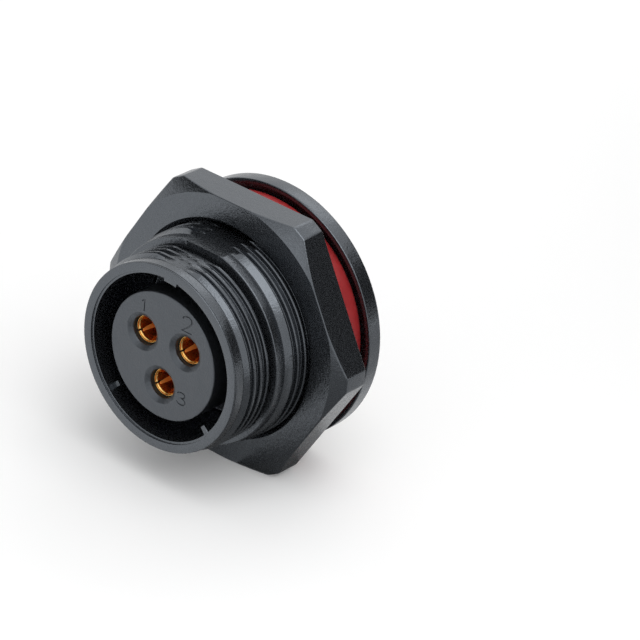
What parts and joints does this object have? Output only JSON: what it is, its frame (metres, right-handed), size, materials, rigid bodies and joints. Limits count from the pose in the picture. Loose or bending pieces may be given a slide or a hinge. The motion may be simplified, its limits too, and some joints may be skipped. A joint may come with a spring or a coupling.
{
  "type": "connector receptacle",
  "caption": "Round black panel receptacle with recessed gold socket contacts, coupling and mounting threads, hex nut, red gasket and solder cups behind its flange.",
  "frame": {"origin": "on the connector's axis, in the plane of the flange's front lip, against which the panel is drawn", "axes": "-Y out of the mating end, +Z towards the flats of both threads, +X to the right seen from the mating end"},
  "size_m": [0.034, 0.0233, 0.0302],
  "materials": {
    "shell_plastic": "fine moulded grain, satin",
    "insert_plastic": "fine matte grain",
    "seal_rubber": "matte",
    "contact_gold": "gold plated, turned",
    "nut_plastic": "fine moulded grain, satin",
    "gasket_silicone": "soft satin"
  },
  "bodies": {
    "receptacle": {"shell": "shell_plastic", "insert": "insert_plastic", "insert_seal": "seal_rubber", "retaining_ring": "shell_plastic", "contact_1": "contact_gold", "contact_2": "contact_gold", "contact_3": "contact_gold", "panel_gasket": "gasket_silicone"},
    "nut": {"hex_nut": "nut_plastic"}
  },
  "joints": [
    {"name": "nut_turn", "type": "hinge", "parent": "receptacle", "child": "nut", "pos_m": [0, -0.005, 0], "axis": [0, -1, 0], "continuous": true}
  ]
}
